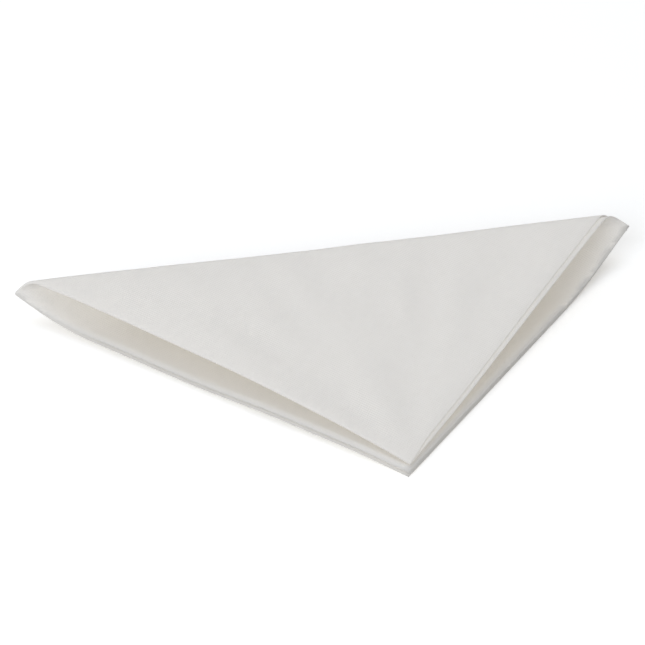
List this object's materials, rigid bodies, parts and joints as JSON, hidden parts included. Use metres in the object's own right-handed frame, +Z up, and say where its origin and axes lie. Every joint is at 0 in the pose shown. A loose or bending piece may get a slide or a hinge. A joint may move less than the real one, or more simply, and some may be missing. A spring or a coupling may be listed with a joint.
{
  "type": "paper napkin",
  "caption": "White paper napkin folded in quarters and bent loosely over its diagonal into a triangle, lying flat, with layered edges.",
  "frame": {"origin": "centre of the bounding box in plan, on the surface that the napkin lies on", "axes": "+X along the folded diagonal, from its tight end to its open end; +Y towards the folded diagonal, away from the loose tip; +Z up"},
  "size_m": [0.2828, 0.14, 0.0248],
  "materials": {
    "napkin_paper": "matte tissue with fine linen-like embossing"
  },
  "bodies": {
    "root": {"folded_napkin": "napkin_paper"}
  },
  "joints": []
}
